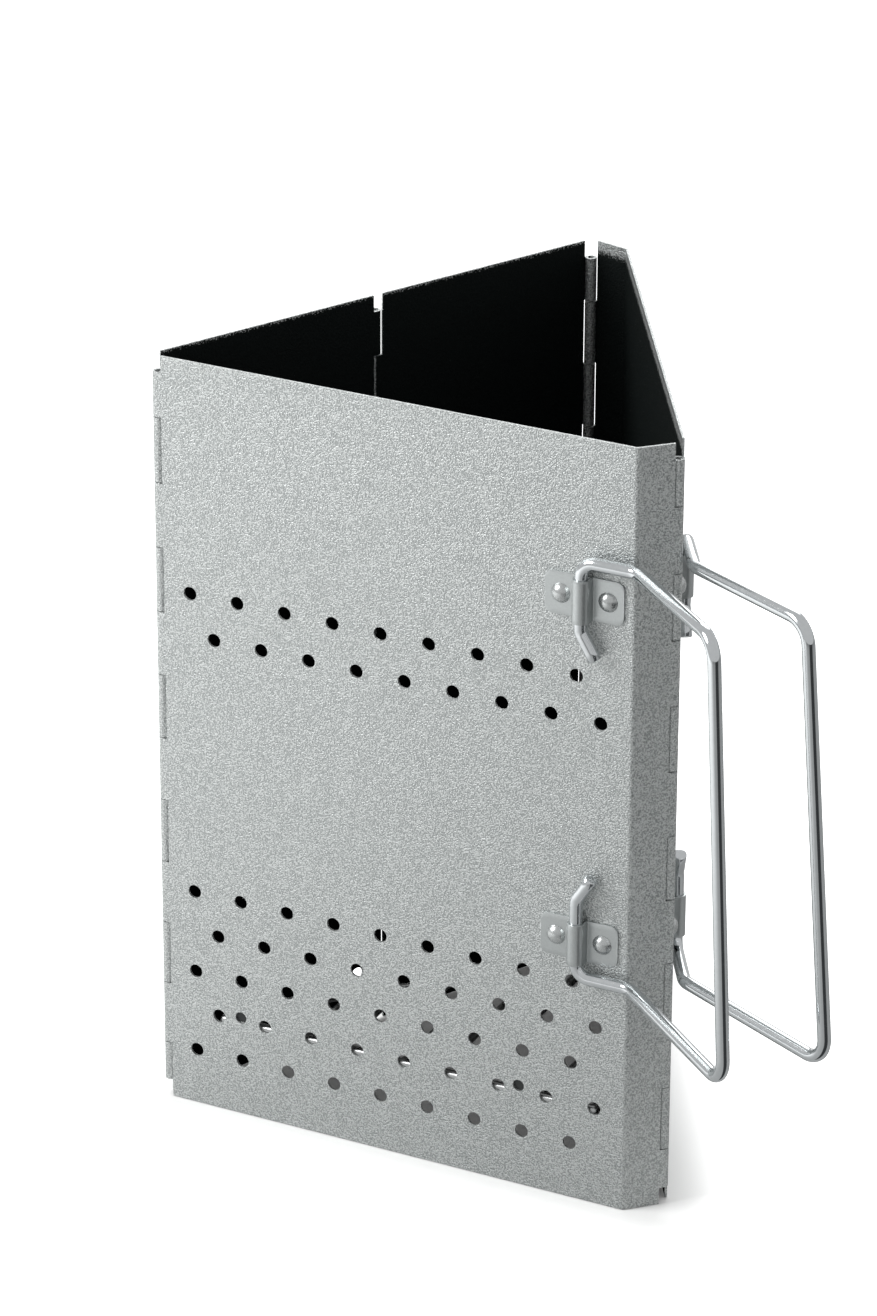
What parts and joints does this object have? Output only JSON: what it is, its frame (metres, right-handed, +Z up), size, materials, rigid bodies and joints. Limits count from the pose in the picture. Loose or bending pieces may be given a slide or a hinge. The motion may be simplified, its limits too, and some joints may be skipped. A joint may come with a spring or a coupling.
{
  "type": "chimney charcoal starter",
  "caption": "Folding triangular chimney charcoal starter in embossed sheet steel, with pinned knuckle hinges, vent holes, an inner wire grate and swinging wire handles.",
  "frame": {"origin": "plan centre of the whole object's box, on the ground under the bottom edges", "axes": "+Z up, +X along the front wall towards the handles, -Y out of the front wall"},
  "size_m": [0.257, 0.2157, 0.275],
  "materials": {
    "walls": "silver-grey embossed coated sheet, fine orange-peel grain",
    "pins": "drawn steel wire",
    "rivets": "satin domed steel",
    "brackets": "smooth satin grey pressed steel",
    "handles": "bright chrome-plated wire",
    "grate": "plain drawn steel wire, welded"
  },
  "bodies": {
    "front_wall": {"front_panel": "walls", "front_left_hinge_pin": "pins", "grate_hinge_clips": "brackets", "front_upper_handle_bracket": "brackets", "front_lower_handle_bracket": "brackets", "front_upper_bracket_rivets": "rivets", "front_lower_bracket_rivets": "rivets"},
    "back_left_wall": {"back_left_panel": "walls", "back_centre_hinge_pin": "pins"},
    "back_right_wall": {"back_right_panel": "walls", "rear_hinge_pin": "pins"},
    "right_wall": {"right_panel": "walls", "front_right_hinge_pin": "pins", "right_upper_handle_bracket": "brackets", "right_lower_handle_bracket": "brackets", "right_upper_bracket_rivets": "rivets", "right_lower_bracket_rivets": "rivets"},
    "front_handle": {"front_handle": "handles"},
    "right_handle": {"right_handle": "handles"},
    "grate": {"charcoal_grate": "grate"}
  },
  "joints": [
    {"name": "back_centre_fold", "type": "hinge", "parent": "back_left_wall", "child": "back_right_wall", "pos_m": [-0.08939, 0.02669, 0.1375], "axis": [0, 0, 1], "range_deg": [0, 167.78]},
    {"name": "front_left_fold", "type": "hinge", "parent": "front_wall", "child": "back_left_wall", "pos_m": [-0.12659, -0.05541, 0.1375], "axis": [0, 0, 1], "range_deg": [-58.42, 0]},
    {"name": "rear_fold", "type": "hinge", "parent": "back_right_wall", "child": "right_wall", "pos_m": [-0.04647, 0.10594, 0.1375], "axis": [0, 0, 1], "range_deg": [-58.42, 0]},
    {"name": "grate_lift", "type": "hinge", "parent": "front_wall", "child": "grate", "pos_m": [-0.03509, -0.05476, 0.0335], "axis": [1, 0, 0], "range_deg": [0, 90.01]},
    {"name": "front_handle_swing", "type": "hinge", "parent": "front_wall", "child": "front_handle", "pos_m": [0.02991, -0.06061, 0.16], "axis": [0, 0, 1], "range_deg": [-148, 2]},
    {"name": "right_handle_swing", "type": "hinge", "parent": "right_wall", "child": "right_handle", "pos_m": [0.05058, -0.02621, 0.16], "axis": [0, 0, 1], "range_deg": [-2, 154]}
  ],
  "couplings": [
    {"joint": "front_left_fold", "follows": "back_centre_fold", "ratio": -0.34814},
    {"joint": "rear_fold", "follows": "back_centre_fold", "ratio": -0.34814},
    {"joint": "grate_lift", "follows": "back_centre_fold", "ratio": 0.53641}
  ]
}
